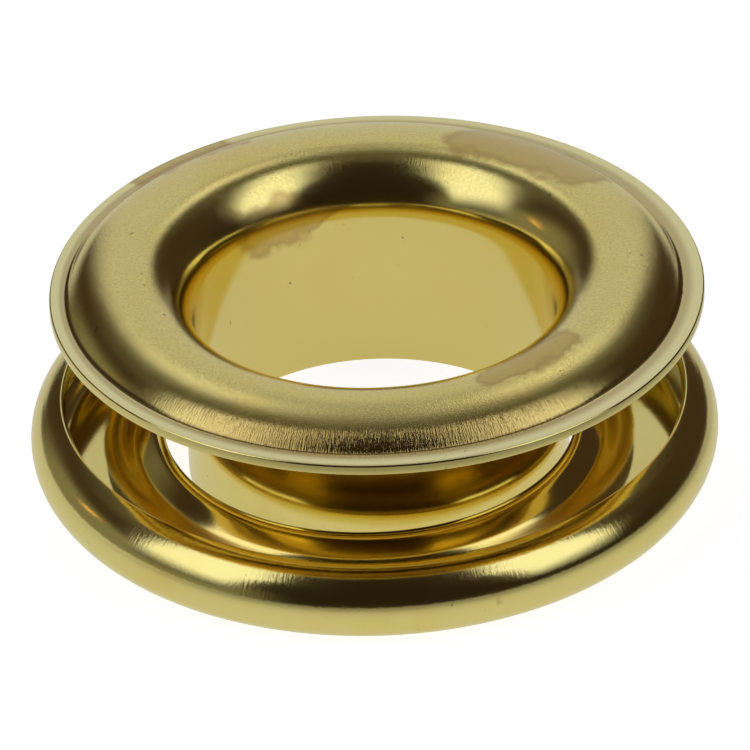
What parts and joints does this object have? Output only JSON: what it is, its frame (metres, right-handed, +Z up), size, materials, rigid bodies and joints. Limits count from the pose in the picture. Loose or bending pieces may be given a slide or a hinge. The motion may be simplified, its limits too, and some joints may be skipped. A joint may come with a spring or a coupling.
{
  "type": "grommet eyelet",
  "caption": "Pressed brass grommet eyelet with a crowned flange and a straight barrel, standing inside its loose washer, a ring with a curled rim and a raised neck.",
  "frame": {"origin": "on the eyelet's axis, in the plane of the barrel's open end, which is also the plane that the washer lies on", "axes": "+Z up along the bore to the crown, +X to the right and +Y away from the viewer in the picture; the washer's axis is 0.12 mm towards -X of the eyelet's"},
  "size_m": [0.0229, 0.0228, 0.0076],
  "materials": {
    "eyelet_brass": "yellow brass, satin with a fine grain on the crown, smoother in the bore and on the brim, with light brown tarnish",
    "washer_brass": "yellow brass, bright drawn, with fine rubbed streaks and slight tarnish"
  },
  "bodies": {
    "root": {"eyelet": "eyelet_brass", "washer": "washer_brass"}
  },
  "joints": []
}
